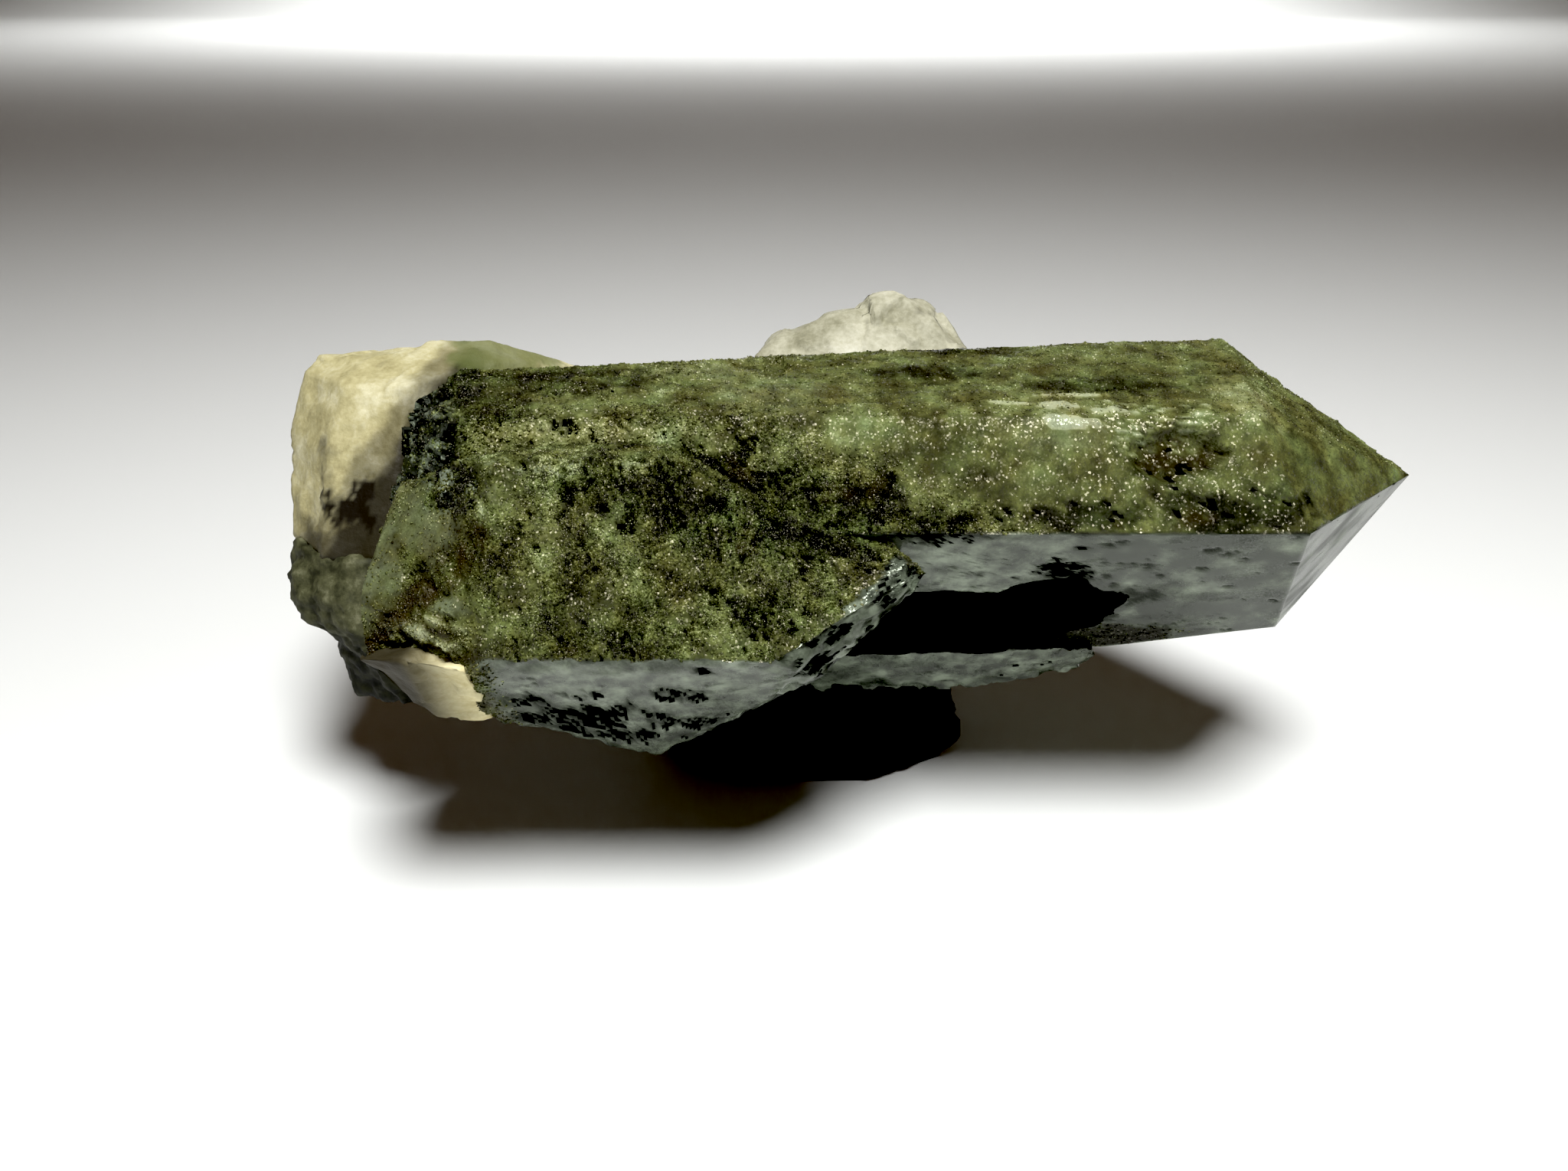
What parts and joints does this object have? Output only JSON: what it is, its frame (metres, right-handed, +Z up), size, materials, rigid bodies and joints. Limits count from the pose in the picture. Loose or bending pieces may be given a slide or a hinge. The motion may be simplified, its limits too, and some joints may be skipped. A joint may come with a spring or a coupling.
{
  "type": "chlorite quartz cluster",
  "caption": "Mineral cluster of level green quartz prisms grown side by side on a dark foot, with cream feldspar and a grey-green schist lump at the broken end.",
  "frame": {"origin": "on the table under the middle of the cluster's box", "axes": "+X along the crystals towards the pointed end, +Z up, -Y is the broad side that shows best"},
  "size_m": [0.071, 0.033, 0.0324],
  "materials": {
    "chlorite_quartz": "glassy quartz filled and dusted with green chlorite",
    "feldspar": "cream cleaved feldspar with brown staining",
    "chlorite_schist": "dull fine-grained grey-green schist"
  },
  "bodies": {
    "root": {"quartz_crystals": "chlorite_quartz", "feldspar_block": "feldspar", "feldspar_rear": "feldspar", "feldspar_lobe": "feldspar", "chlorite_lump": "chlorite_schist"}
  },
  "joints": []
}
